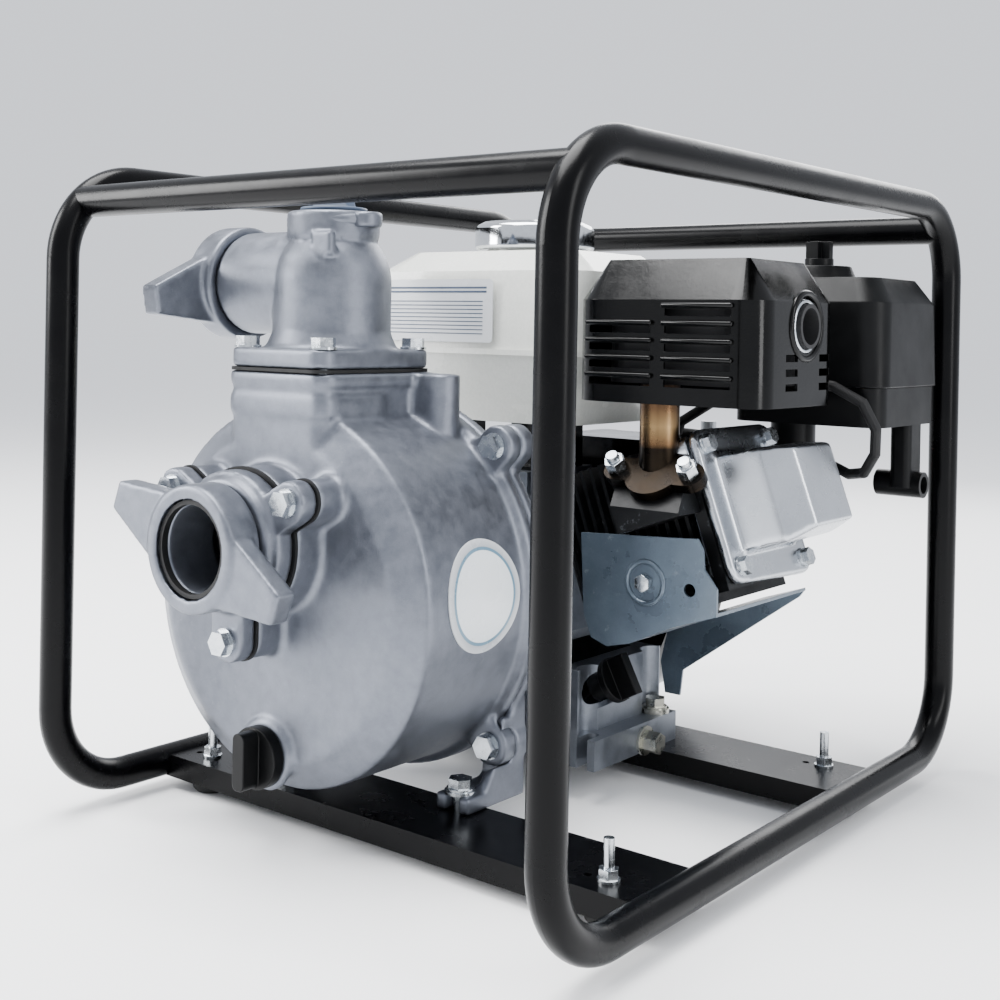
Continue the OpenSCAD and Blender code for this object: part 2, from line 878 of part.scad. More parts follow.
// Finned barrel and head, black, with the exhaust and inlet pads
module cylinder_head() {
    color("#1b1c1f")
        difference() {
            union() {
                at_cylinder() {
                    translate([92, 12, -42])
                        cube([head_out - 92, 76, 84]);
                    for (k = [0:fin_count - 1])
                        translate([98 + k * fin_pitch, 2, -52])
                            cube([2.6, 98, 104]);
                    translate([156, -26, 4])
                        cube([head_out - 156, 46, 42]);
                    translate([head_out - 4, 0, -46])
                        cube([8, 102, 100]);
                    translate([port_u - 18, 84, port_w - 18])
                        cube([36, 24, 36]);
                    translate([188, -12.7, -40])
                        rotate([-90, 0, 0])
                            cylinder(r = 10, h = 14, $fn = 48);
                    translate([180, 0, -48])
                        cube([16, 12, 20]);
                }
                at_plug()
                    translate([0, 0, -20])
                        cylinder(r = 11, h = 26, $fn = 48);
            }
            at_cylinder() {
                translate([90, engine_y, 0])
                    rotate([0, 90, 0])
                        cylinder(d = piston_d + 0.2, h = barrel_end - 90, $fn = 96);
                translate([port_u, 80, port_w])
                    rotate([-90, 0, 0])
                        cylinder(r = 10, h = 40, $fn = 48);
                translate([188, -15, -40])
                    rotate([-90, 0, 0])
                        cylinder(r = 4, h = 20, $fn = 32);
                translate([head_out + 4, -30, -60])
                    cube([60, 150, 140]);
            }
            at_port() {
                translate([-40, -40, 0])
                    cube([80, 70, 60]);
                translate([0, 0, -24])
                    cylinder(r = 11, h = 30, $fn = 48);
            }
            translate([exhaust_x, exhaust_y, exhaust_z - 1])
                cylinder(r = pipe_r + 1, h = 60, $fn = 64);
            at_plug() {
                translate([0, 0, -18])
                    cylinder(r = 6, h = 30, $fn = 32);
                translate([0, 0, 6])
                    cylinder(r = 12, h = 40, $fn = 48);
            }
        }
}

cover_bolts = [[10, 44], [10, -34], [92, 44], [92, -38]];

// Domed die-cast valve cover on the end of the head
module valve_cover() {
    x0 = head_out + 4;
    color("#c6cbd0")
        at_cylinder()
            translate([x0, 0, 0])
                difference() {
                    union() {
                        hull()
                            for (p = cover_bolts)
                                translate([0, p[0], p[1]])
                                    rotate([0, 90, 0])
                                        cylinder(r = 10, h = 7, $fn = 32);
                        hull() {
                            translate([6, 17, -27])
                                cube([2, 70, 63]);
                            translate([34, 20, -27])
                                cube([2, 66, 60]);
                            translate([52, 32, -22])
                                cube([2, 52, 50]);
                        }
                    }
                    hull() {
                        translate([-1, 20, -24])
                            cube([2, 64, 57]);
                        translate([30, 23, -24])
                            cube([2, 60, 54]);
                        translate([46, 36, -18])
                            cube([2, 44, 42]);
                    }
                    for (p = cover_bolts)
                        translate([-1, p[0], p[1]])
                            rotate([0, 90, 0])
                                cylinder(d = 6.4, h = 20, $fn = 32);
                }
}

module valve_cover_bolts() {
    color("#c9ced2")
        at_cylinder()
            for (p = cover_bolts)
                translate([head_out + 11, p[0], p[1]])
                    rotate([0, 90, 0])
                        bolt(6, 10, 6, 7);
}

// Pressed sheet that guides air under the cylinder
module cylinder_shroud() {
    color("#7c8894")
        difference() {
            union() {
                slab_y(-15, -13)
                    polygon([[51, 181], [136, 186], [140, 180], [141, 168], [150, 157], [153, 150],
                        [153, 141.5], [120, 130], [88, 115], [72, 111], [60, 115], [54, 130]]);
                slab_y(-13.5, 12)
                    polygon([[153, 141.5], [120, 130], [88, 115], [72, 111], [62, 114], [62, 116.5],
                        [72, 113], [87.5, 117], [119.5, 132], [152.5, 143.5]]);
                slab_y(8, 105)
                    polygon([[153, 141.5], [120, 130], [88, 115], [72, 111], [62, 114], [62, 116.5],
                        [72, 113], [87.5, 117], [119.5, 132], [152.5, 143.5]]);
                slab_y(104, 106)
                    polygon([[150, 141.5], [146, 136], [58, 72], [56, 54], [44, 54], [40, 76], [46, 102],
                        [62, 115], [72, 112], [88, 116], [120, 131]]);
            }
            translate([100, 0, 155])
                rotate([90, 0, 0])
                    cylinder(d = 7, h = 20, $fn = 32);
            at_cylinder()
                translate([188, -30, -40])
                    rotate([-90, 0, 0])
                        cylinder(r = 4, h = 30, $fn = 32);
        }
}

exhaust_x = 99;
exhaust_y = 0;
exhaust_z = 224;
pipe_r = 12.5;

// Places children on the exhaust port's slanted face
module at_port() {
    translate([exhaust_x + 3, exhaust_y - 7, exhaust_z - 5])
        rotate([42, 0, 0])
            children();
}

// Exhaust flange and its short upright pipe
module exhaust_pipe() {
    color("#8a6a48")
        difference() {
            union() {
                translate([exhaust_x, exhaust_y, exhaust_z])
                    cylinder(r = pipe_r, h = 54, $fn = 64);
                at_port()
                    linear_extrude(7) {
                        circle(r = 19, $fn = 64);
                        for (s = [-1, 1])
                            translate([s * 26, 0])
                                circle(r = 9.5, $fn = 48);
                        translate([-26, -9.5])
                            square([52, 19]);
                    }
            }
            translate([exhaust_x, exhaust_y, exhaust_z + 10])
                cylinder(r = pipe_r - 1.6, h = 60, $fn = 64);
        }
}

module exhaust_nuts() {
    color("#6f6a62")
        at_port()
            for (s = [-1, 1])
                translate([s * 26, 0, 7]) {
                    cylinder(d = 12 / cos(30), h = 8, $fn = 6);
                    cylinder(d = 8, h = 12, $fn = 32);
                }
}

guard_x0 = 40;
guard_x1 = 175;
guard_y0 = -15;
guard_y1 = 96;
guard_z0 = 266;
guard_z1 = 357;

module muffler() {
    color("#2a2a2b")
        difference() {
            union() {
                translate([guard_x0 + 12, guard_y0 + 12, exhaust_z + 54])
                    linear_extrude(66)
                        round_rect(108, 86, 26);
                rod_x(47, 316, 14, guard_x1 - 16, guard_x1 + 3, 48);
                for (x = [guard_x0 + 38, guard_x0 + 96])
                    rod_y(x, 310, 5, guard_y1 - 30, guard_y1 - 2, 32);
            }
            rod_x(47, 316, 11.5, guard_x1 - 12, guard_x1 + 4, 48);
        }
}

// Outline of the muffler guard in X and Y, drawn in by the given inset
module guard_outline(inset) {
    translate([guard_x0 + inset, guard_y0 + inset])
        round_rect(guard_x1 - guard_x0 - 2 * inset, guard_y1 - guard_y0 - 2 * inset, 20 - inset);
}

// Slotted sheet-metal box over the muffler
module muffler_guard() {
    top = guard_z1 - 26;
    color("#16171a")
        difference() {
            union() {
                translate([0, 0, guard_z0])
                    linear_extrude(top - guard_z0)
                        guard_outline(0);
                hull() {
                    translate([0, 0, top - 0.5])
                        linear_extrude(0.5)
                            guard_outline(0);
                    translate([0, 0, guard_z1 - 1])
                        linear_extrude(1)
                            guard_outline(17);
                }
            }
            translate([0, 0, guard_z0 - 1])
                linear_extrude(top - guard_z0 + 1.5)
                    guard_outline(2);
            hull() {
                translate([0, 0, top])
                    linear_extrude(0.5)
                        guard_outline(2);
                translate([0, 0, guard_z1 - 3])
                    linear_extrude(1)
                        guard_outline(18);
            }
            for (k = [0:4])
                translate([guard_x0 + 70, guard_y0 - 5, guard_z0 + 11 + k * 11])
                    cube([46, 12, 4.5]);
            for (k = [0:3])
                translate([guard_x0 + 14, guard_y0 - 5, guard_z0 + 11 + k * 11])
                    cube([46, 12, 4.5]);
            rod_x(47, 316, 17, guard_x1 - 8, guard_x1 + 8, 48);
            for (k = [0:2], j = [0:1])
                translate([guard_x1 - 8, 20 + j * 46, guard_z0 + 10 + k * 9])
                    cube([16, 16, 4.5]);
            translate([exhaust_x - 18, guard_y0 + 6, guard_z0 - 1])
                cube([36, 24, 4]);
        }
}

tank_x0 = -158;
tank_x1 = 36;
tank_y0 = -5;
tank_y1 = 152;
tank_z0 = 246;
tank_seam = 296;
tank_top = 366;
cap_x = -55;
cap_y = 72;

module tank_outline(inset, r) {
    translate([tank_x0 + inset, tank_y0 + inset])
        round_rect(tank_x1 - tank_x0 - 2 * inset, tank_y1 - tank_y0 - 2 * inset, r);
}

module fuel_tank() {
    color("#dcdfd8")
        difference() {
            union() {
                hull() {
                    translate([0, 0, tank_seam])
                        linear_extrude(1)
                            tank_outline(2, 26);
                    translate([0, 0, tank_top - 16])
                        linear_extrude(1)
                            tank_outline(4, 26);
                    translate([0, 0, tank_top - 1])
                        linear_extrude(1)
                            tank_outline(26, 14);
                }
                hull() {
                    translate([0, 0, tank_seam - 3])
                        linear_extrude(3)
                            tank_outline(2, 26);
                    translate([0, 0, tank_z0])
                        linear_extrude(1)
                            tank_outline(16, 18);
                }
                translate([0, 0, tank_seam - 3])
                    linear_extrude(4)
                        tank_outline(0, 27);
                translate([cap_x, cap_y, tank_top - 10])
                    cylinder(r = 34, h = 14, $fn = 96);
            }
            translate([0, 0, tank_z0 + 4])
                linear_extrude(tank_top - tank_z0 - 16)
                    tank_outline(22, 12);
            translate([cap_x, cap_y, tank_top - 20])
                cylinder(r = 26, h = 40, $fn = 96);
        }
}

module fuel_cap() {
    color("#cfd2d4")
        translate([cap_x, cap_y, 0])
            difference() {
                translate([0, 0, tank_top + 2.3])
                    rotate_extrude($fn = 96)
                        polygon([[0, 0], [42, 0], [44, 2], [44, 15], [42.5, 18], [38, 20.5], [0, 20.5]]);
                translate([0, 0, tank_top])
                    cylinder(r = 34.6, h = 4.4, $fn = 96);
            }
}

// Blank rating plate on the front of the tank
module rating_plate() {
    color("#f2f3f1")
        translate([tank_x0 + 22, tank_y0 - 0.4, tank_seam + 5])
            rotate([90, 0, 0])
                rotate([0, 0, 0])
                    linear_extrude(0.8)
                        round_rect(104, 44, 3);
}

// Sheet-metal housing round the cooling fan
module fan_housing() {
    color("#17181b")
        difference() {
            union() {
                rod_y(shaft_x, shaft_z, 104, 112, 182, 96);
                translate([shaft_x, 112, shaft_z])
                    cube([104, 70, 104]);
            }
            rod_y(shaft_x, shaft_z, 101.5, 114, 183, 96);
            translate([shaft_x, 114, shaft_z])
                cube([101.5, 66, 101.5]);
            rod_y(shaft_x, shaft_z, 40, 110, 120, 64);
            translate([20, 158, shaft_z + 90])
                cylinder(r = 3.05, h = 20, $fn = 32);
        }
}

module flywheel() {
    color("#7b7d80")
        difference() {
            union() {
                rod_y(shaft_x, shaft_z, 82, 128, 146, 96);
                for (k = [0:15])
                    slab_y(146, 162)
                        translate([shaft_x, shaft_z])
                            rotate(k * 22.5)
                                translate([52, -1])
                                    square([32, 3]);
            }
            rod_y(shaft_x, shaft_z, 60, 132, 150, 96);
            rod_y(shaft_x, shaft_z, 10, 120, 170, 48);
        }
    color("#7b7d80")
        difference() {
            rod_y(shaft_x, shaft_z, 60, 132, 136, 96);
            rod_y(shaft_x, shaft_z, 10, 120, 170, 48);
        }
}

rope_z = shaft_z + 39;

// Domed recoil starter cover with radial air slots
module recoil_cover() {
    color("#1a1b1e")
        difference() {
            turned_y(shaft_x, shaft_z)
                polygon([[0, 182], [104, 182], [104, 186], [92, 200], [76, 210], [0, 212]]);
            turned_y(shaft_x, shaft_z)
                polygon([[5.95, 181], [99, 181], [99, 185], [89, 198], [74, 207], [5.95, 209]]);
            rod_y(shaft_x, shaft_z, 6, 181, 184, 32);
            for (k = [0:23])
                if (k != 5 && k != 6 && k != 7)
                    slab_y(180, 220)
                        translate([shaft_x, shaft_z])
                            rotate(k * 15)
                                translate([52, -2.2])
                                    square([26, 4.4]);
            translate([shaft_x, 190, rope_z])
                rotate([0, -90, 0])
                    cylinder(r = 5, h = 130, $fn = 32);
        }
}

module recoil_pulley() {
    color("#2b2d30")
        difference() {
            union() {
                rod_y(shaft_x, shaft_z, 46, 184.5, 186.5, 64);
                rod_y(shaft_x, shaft_z, 36, 186, 194, 64);
                rod_y(shaft_x, shaft_z, 46, 193.5, 195.5, 64);
            }
            rod_y(shaft_x, shaft_z, 6, 180, 200, 32);
        }
}

// Starter handle with the straight run of its rope
module recoil_grip() {
    x0 = shaft_x - 109;
    color("#141416") {
        rod_x(190, rope_z, 7, x0, x0 + 9, 48);
        translate([x0, 168, rope_z])
            rotate([-90, 0, 0])
                cylinder(r = 8, h = 44, $fn = 48);
        rod_x(190, rope_z, 2, x0 + 8, shaft_x + 22, 24);
    }
}

// ---------- intake, controls and small parts ----------

ac_x0 = 84;
ac_x1 = 193;
ac_y0 = 118;
ac_y1 = 221;
ac_base_z = 250;
ac_split_z = 276;
ac_top_z = 350;
ac_knob_x = 127;
ac_knob_y = 165;

module air_cleaner_base() {
    color("#1c1d20")
        difference() {
            union() {
                translate([ac_x0, ac_y0, ac_base_z])
                    linear_extrude(ac_split_z - ac_base_z)
                        round_rect(ac_x1 - ac_x0, ac_y1 - ac_y0, 14);
                translate([ac_x1 - 18, ac_y0 + 60, 206])
                    linear_extrude(ac_base_z - 200)
                        round_rect(15, 24, 5);
                rod_x(ac_y0 + 72, 208, 9, ac_x1 - 30, ac_x1 + 3, 48);
                rod_y(carb_x, carb_z, 17, 166, 190);
                translate([carb_x, 183, carb_z])
                    cylinder(r = 16, h = ac_base_z - carb_z + 2, $fn = 64);
            }
            translate([ac_x0 + 4, ac_y0 + 4, ac_base_z + 6])
                linear_extrude(40)
                    round_rect(ac_x1 - ac_x0 - 8, ac_y1 - ac_y0 - 8, 10);
            rod_y(carb_x, carb_z, 12, 165, 183);
            translate([carb_x, 183, carb_z])
                cylinder(r = 12, h = 80, $fn = 64);
            rod_x(ac_y0 + 72, 208, 6, ac_x1 - 10, ac_x1 + 4, 48);
        }
}

module air_filter() {
    color("#8b7c52")
        difference() {
            translate([ac_x0 + 14, ac_y0 + 14, ac_base_z + 6.3])
                linear_extrude(66)
                    round_rect(ac_x1 - ac_x0 - 28, ac_y1 - ac_y0 - 28, 12);
            translate([ac_x0 + 30, ac_y0 + 30, ac_base_z])
                linear_extrude(90)
                    round_rect(ac_x1 - ac_x0 - 60, ac_y1 - ac_y0 - 60, 8);
        }
}

module air_cleaner_cover() {
    w = ac_x1 - ac_x0;
    d = ac_y1 - ac_y0;
    color("#202226")
        difference() {
            union() {
                hull() {
                    translate([ac_x0 - 2, ac_y0 - 2, ac_split_z + 0.3])
                        linear_extrude(1)
                            round_rect(w + 4, d + 4, 16);
                    translate([ac_x0 - 1, ac_y0 - 1, ac_top_z - 18])
                        linear_extrude(1)
                            round_rect(w + 2, d + 2, 18);
                    translate([ac_x0 + 10, ac_y0 + 10, ac_top_z - 1])
                        linear_extrude(1)
                            round_rect(w - 20, d - 20, 14);
                }
                translate([ac_knob_x, ac_knob_y, ac_top_z - 3])
                    cylinder(r1 = 27, r2 = 22, h = 12, $fn = 64);
            }
            translate([ac_x0 + 3, ac_y0 + 3, ac_split_z - 1])
                linear_extrude(ac_top_z - ac_split_z - 16)
                    round_rect(w - 6, d - 6, 14);
            translate([ac_x0 + 14, ac_y0 + 14, ac_split_z - 1])
                linear_extrude(ac_top_z - ac_split_z - 3)
                    round_rect(w - 28, d - 28, 10);
            translate([ac_knob_x, ac_knob_y, ac_top_z - 10])
                cylinder(r = 3.4, h = 30, $fn = 32);
        }
}

module air_cleaner_knob() {
    color("#0e0e10")
        translate([ac_knob_x, ac_knob_y, ac_top_z + 9.3]) {
            cylinder(r = 10, h = 5, $fn = 48);
            translate([-9, -3, 4])
                cube([18, 6, 13]);
            translate([-3, -9, 4])
                cube([6, 18, 13]);
            translate([0, 0, -20])
                cylinder(r = 3, h = 21, $fn = 32);
        }
}

// Carburettor between the head's inlet pad and the air cleaner
module carburettor() {
    color("#8f9498")
        difference() {
            union() {
                translate([carb_x - 22, 108, carb_z - 18])
                    cube([44, 6, 36]);
                translate([carb_x - 17, 114, carb_z - 16])
                    cube([34, 46, 32]);
                rod_y(carb_x, carb_z, 17, 114, 166);
                translate([carb_x, 138, carb_z - 40])
                    cylinder(r = 16, h = 30, $fn = 48);
            }
            rod_y(carb_x, carb_z, 11, 105, 170, 48);
            rod_x(150, carb_z + 12.6, 2.05, carb_x + 8, carb_x + 20, 24);
            rod_x(124, carb_z - 12, 3.05, carb_x + 8, carb_x + 20, 24);
        }
}

module throttle_lever() {
    color("#9aa0a6")
        translate([20, 158, shaft_z + 104.3]) {
            cylinder(r = 8, h = 2, $fn = 48);
            translate([0, 0, -10])
                cylinder(r = 3, h = 11, $fn = 32);
            translate([-4, 0, 0])
                cube([8, 50, 2]);
            translate([0, 44, 1])
                cylinder(r = 6, h = 9, $fn = 32);
        }
}

module choke_lever() {
    color("#141416")
        translate([carb_x + 17.3, 150, carb_z + 12.6])
            rotate([0, 90, 0]) {
                cylinder(r = 5, h = 3, $fn = 32);
                translate([0, 0, -7])
                    cylinder(r = 2, h = 8, $fn = 24);
                translate([-2.5, -24, 0])
                    cube([5, 24, 3]);
            }
}

module fuel_valve_lever() {
    color("#141416")
        translate([carb_x + 17.3, 124, carb_z - 12])
            rotate([0, 90, 0]) {
                cylinder(r = 6, h = 4, $fn = 32);
                translate([0, 0, -7])
                    cylinder(r = 3, h = 8, $fn = 24);
                translate([0, -3, 0])
                    cube([22, 6, 4]);
            }
}

module spark_plug() {
    color("#d9d6cc")
        at_plug() {
            translate([0, 0, -16])
                cylinder(r = 6, h = 23, $fn = 32);
            translate([0, 0, 6])
                cylinder(d = 16 / cos(30), h = 6, $fn = 6);
            translate([0, 0, 11])
                cylinder(r = 5, h = 16, $fn = 32);
        }
}

// Round tube through a list of points
module hose(points, r) {
    for (i = [0:len(points) - 2]) {
        d = points[i + 1] - points[i];
        translate(points[i]) {
            rotate([0, acos(d[2] / norm(d)), atan2(d[1], d[0])])
                cylinder(r = r, h = norm(d), $fn = 32);
            if (i > 0)
                sphere(r = r * 1.12, $fn = 32);
        }
    }
}

// Rubber plug boot with the start of its lead
module plug_lead() {
    color("#15161b") {
        at_plug()
            difference() {
                translate([0, 0, 13])
                    cylinder(r = 8, h = 34, $fn = 48);
                translate([0, 0, 12])
                    cylinder(r = 5, h = 15, $fn = 48);
            }
        lead = [[131, 140.7, 224.9], [146, 146, 222], [165, 136, 217], [181, 124, 220], [193, 113, 234],
            [195, 109, 250], [186, 108, 267], [166, 107, 277], [142, 107, 279], [110, 107, 272],
            [75, 109, 262], [44, 119, 246], [40, 120, 235.4]];
        for (i = [0:len(lead) - 2])
            hull() {
                translate(lead[i])
                    sphere(r = 3.6, $fn = 12);
                translate(lead[i + 1])
                    sphere(r = 3.6, $fn = 12);
            }
    }
}

module engine_switch() {
    color("#b3241c")
        translate([shaft_x + 86, 182, shaft_z + 86])
            rotate([-90, 0, 0]) {
                cylinder(r = 9, h = 6, $fn = 48);
                translate([-2.5, -9, 5])
                    cube([5, 18, 8]);
            }
}

module dipstick() {
    color("#0e0f11")
        at_dipstick() {
            translate([0, 0, 0.3])
                cylinder(r = 15, h = 5, $fn = 48);
            translate([-14, -4, 5])
                cube([28, 8, 13]);
            translate([0, 0, -14])
                cylinder(r = 9, h = 15, $fn = 48);
            translate([0, 0, -40])
                cylinder(r = 3, h = 27, $fn = 32);
        }
}

module fuel_hose() {
    color("#101012")
        hose([[8, 135, tank_z0], [8, 135, 238], [54, 135, 236], [62, 133, 200], [72, 136, carb_z - 28],
            [80, 138, carb_z - 30], [carb_x - 16, 138, carb_z - 30]], 4);
}

// Sheet straps that carry the tank on the engine block
module tank_bracket() {
    color("#1a1b1e")
        difference() {
            union() {
                translate([-112, 30, shaft_z + 84])
                    cube([88, 60, 3]);
                for (x = [-132, -24]) {
                    translate([x, 30, tank_z0 - 3])
                        cube([20, 60, 3]);
                    translate([x > -60 ? x : x + 17, 30, shaft_z + 84])
                        cube([3, 60, tank_z0 - shaft_z - 84]);
                }
            }
            for (y = [44, 76])
                translate([-70, y, shaft_z + 80])
                    cylinder(d = 8.4, h = 12, $fn = 32);
        }
}

frame_hoop_right();
frame_hoop_left();
front_top_rail();
back_top_rail();
front_channel();
back_channel();
rubber_feet();
foot_studs();
pump_casing();
rear_cover();
pump_bolts();
volute();
impeller();
mechanical_seal();
suction_flange();
suction_gasket();
check_valve_flap();
suction_wing_nut();
port_seals();
riser_gasket();
discharge_elbow();
discharge_wing_nut();
priming_plug();
drain_plug();
pump_badge();
crankcase();
crankcase_cover();
engine_bolts();
crankshaft();
piston();
cylinder_head();
valve_cover();
valve_cover_bolts();
cylinder_shroud();
exhaust_pipe();
exhaust_nuts();
muffler();
muffler_guard();
fuel_tank();
fuel_cap();
rating_plate();
fan_housing();
flywheel();
recoil_cover();
recoil_pulley();
recoil_grip();
air_cleaner_base();
air_filter();
air_cleaner_cover();
air_cleaner_knob();
carburettor();
throttle_lever();
choke_lever();
fuel_valve_lever();
spark_plug();
plug_lead();
engine_switch();
dipstick();
fuel_hose();
tank_bracket();
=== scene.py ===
# %% [markdown]
# # Gas engine trash pump
# A small petrol engine and a self-priming pump sit side by side in a bent-tube frame.
# The engineering model is loaded first and stays as it is. Around it this lesson makes
# the finishes, and the pieces whose castings and pressings need softer shapes.

import bpy
import json
import math
from mathutils import Matrix, Vector


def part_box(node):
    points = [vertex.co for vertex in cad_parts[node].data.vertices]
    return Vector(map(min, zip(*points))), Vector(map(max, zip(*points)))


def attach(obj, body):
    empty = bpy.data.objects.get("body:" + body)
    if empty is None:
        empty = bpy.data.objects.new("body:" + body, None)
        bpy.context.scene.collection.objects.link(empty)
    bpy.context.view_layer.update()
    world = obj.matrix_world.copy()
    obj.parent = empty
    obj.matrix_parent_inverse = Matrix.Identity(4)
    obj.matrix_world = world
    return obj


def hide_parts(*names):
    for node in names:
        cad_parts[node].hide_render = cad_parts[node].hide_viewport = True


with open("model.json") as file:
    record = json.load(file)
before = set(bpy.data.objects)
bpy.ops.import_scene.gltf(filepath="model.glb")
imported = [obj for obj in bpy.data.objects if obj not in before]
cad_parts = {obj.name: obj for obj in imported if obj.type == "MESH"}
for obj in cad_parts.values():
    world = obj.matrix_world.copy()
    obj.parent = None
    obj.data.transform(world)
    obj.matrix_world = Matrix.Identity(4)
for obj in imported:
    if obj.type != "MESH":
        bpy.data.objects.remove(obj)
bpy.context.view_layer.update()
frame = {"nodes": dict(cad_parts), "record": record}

# %% [markdown]
# ## Camera, floor and light
# The viewer stands at the pump's front right, at about a third of a metre above the
# floor, with a normal lens. Large soft lamps give metal something to mirror: one long
# soft box on each side, one overhead, and a dim grey surround.

# %% Camera
scene = bpy.context.scene
camera_data = bpy.data.cameras.new("studio_camera")
camera_data.sensor_width = 36.0
camera_data.lens = 50.62
camera_data.shift_x = 0.0303
camera_data.shift_y = -0.1698
camera = bpy.data.objects.new("studio_camera", camera_data)
camera.location = (0.5643, -0.7631, 0.3131)
heading, tilt, roll = (math.radians(a) for a in (39.135, 0.214, 1.048))
camera.rotation_euler = (Matrix.Rotation(heading, 3, "Z") @ Matrix.Rotation(math.pi / 2 - tilt, 3, "X")
                         @ Matrix.Rotation(roll, 3, "Z")).to_euler()
scene.collection.objects.link(camera)
scene.camera = camera
print("camera at", tuple(camera.location))


# %% Floor and lamps
def pick_nothing():
    if bpy.context.object and bpy.context.object.mode != "OBJECT":
        bpy.ops.object.mode_set(mode="OBJECT")
    bpy.ops.object.select_all(action="DESELECT")


def colour(hex_code):
    """An sRGB hex colour as the linear colour that Blender mixes with."""
    values = [int(hex_code[i:i + 2], 16) / 255 for i in (1, 3, 5)]
    return [v / 12.92 if v <= 0.04045 else ((v + 0.055) / 1.055) ** 2.4 for v in values] + [1.0]


pick_nothing()
bpy.ops.mesh.primitive_plane_add(size=40.0, location=(0, 0, -0.0005))
floor = bpy.context.object
floor.name = "studio_floor"
floor_paint = bpy.data.materials.new("pale studio paper")
floor_paint.use_nodes = True
floor_shader = floor_paint.node_tree.nodes["Principled BSDF"]
floor_shader.inputs["Base Color"].default_value = colour("#ffffff")
floor_shader.inputs["Roughness"].default_value = 0.85
floor.data.materials.append(floor_paint)

world = bpy.data.worlds.new("studio surround")
scene.world = world
world.use_nodes = True
world.node_tree.nodes["Background"].inputs["Color"].default_value = colour("#eef2fa")
world.node_tree.nodes["Background"].inputs["Strength"].default_value = 1.3


def soft_box(name, place, size, watts, target=(0.0, 0.0, 0.2)):
    lamp = bpy.data.lights.new(name, "AREA")
    lamp.shape = "RECTANGLE"
    lamp.size, lamp.size_y = size
    lamp.energy = watts
    holder = bpy.data.objects.new(name, lamp)
    holder.location = place
    aim = Vector(target) - Vector(place)
    holder.rotation_euler = aim.to_track_quat("-Z", "Y").to_euler()
    scene.collection.objects.link(holder)


soft_box("overhead_box", (-0.3, -0.3, 1.9), (1.3, 1.1), 85)
soft_box("front_left_box", (-1.6, -1.3, 1.0), (0.7, 1.3), 70)
soft_box("right_box", (1.7, -0.1, 0.8), (0.4, 1.4), 16)
soft_box("back_box", (-0.4, 1.7, 1.1), (1.4, 0.7), 22)

# %% [markdown]
# ## Finishes
# Each finish starts from what the real surface is. One helper adds a node with its
# settings and links, and every pattern is sized from real millimetres in Object
# coordinates, so it stays on the piece when a joint moves.


# %% Node helper
def add(tree, kind, links=None, **settings):
    """Adds a node, sets its properties and sockets, and links its inputs."""
    node = tree.nodes.new(kind)
    for key, value in settings.items():
        if key.startswith("in_"):
            name = key[3:].replace("_", " ")
            node.inputs[int(name) if name.isdigit() else name].default_value = value
        else:
            setattr(node, key, value)
    for name, source in (links or {}).items():
        tree.links.new(source, node.inputs[name])
    return node


def ramp(tree, factor, stops):
    """A colour band; each stop is a place from 0 to 1 and a hex colour or a grey level."""
    node = add(tree, "ShaderNodeValToRGB", {"Fac": factor})
    band = node.color_ramp.elements
    band[0].position, band[1].position = stops[0][0], stops[-1][0]
    for place, _ in stops[1:-1]:
        band.new(place)
    for place, shade in stops:
        element = min(band, key=lambda e: abs(e.position - place))
        element.color = colour(shade) if isinstance(shade, str) else (shade, shade, shade, 1)
    return node.outputs["Color"]


def per_mm(size_mm):
    """Noise scale whose patches are about size_mm across, on coordinates in metres."""
    return 1000.0 / size_mm


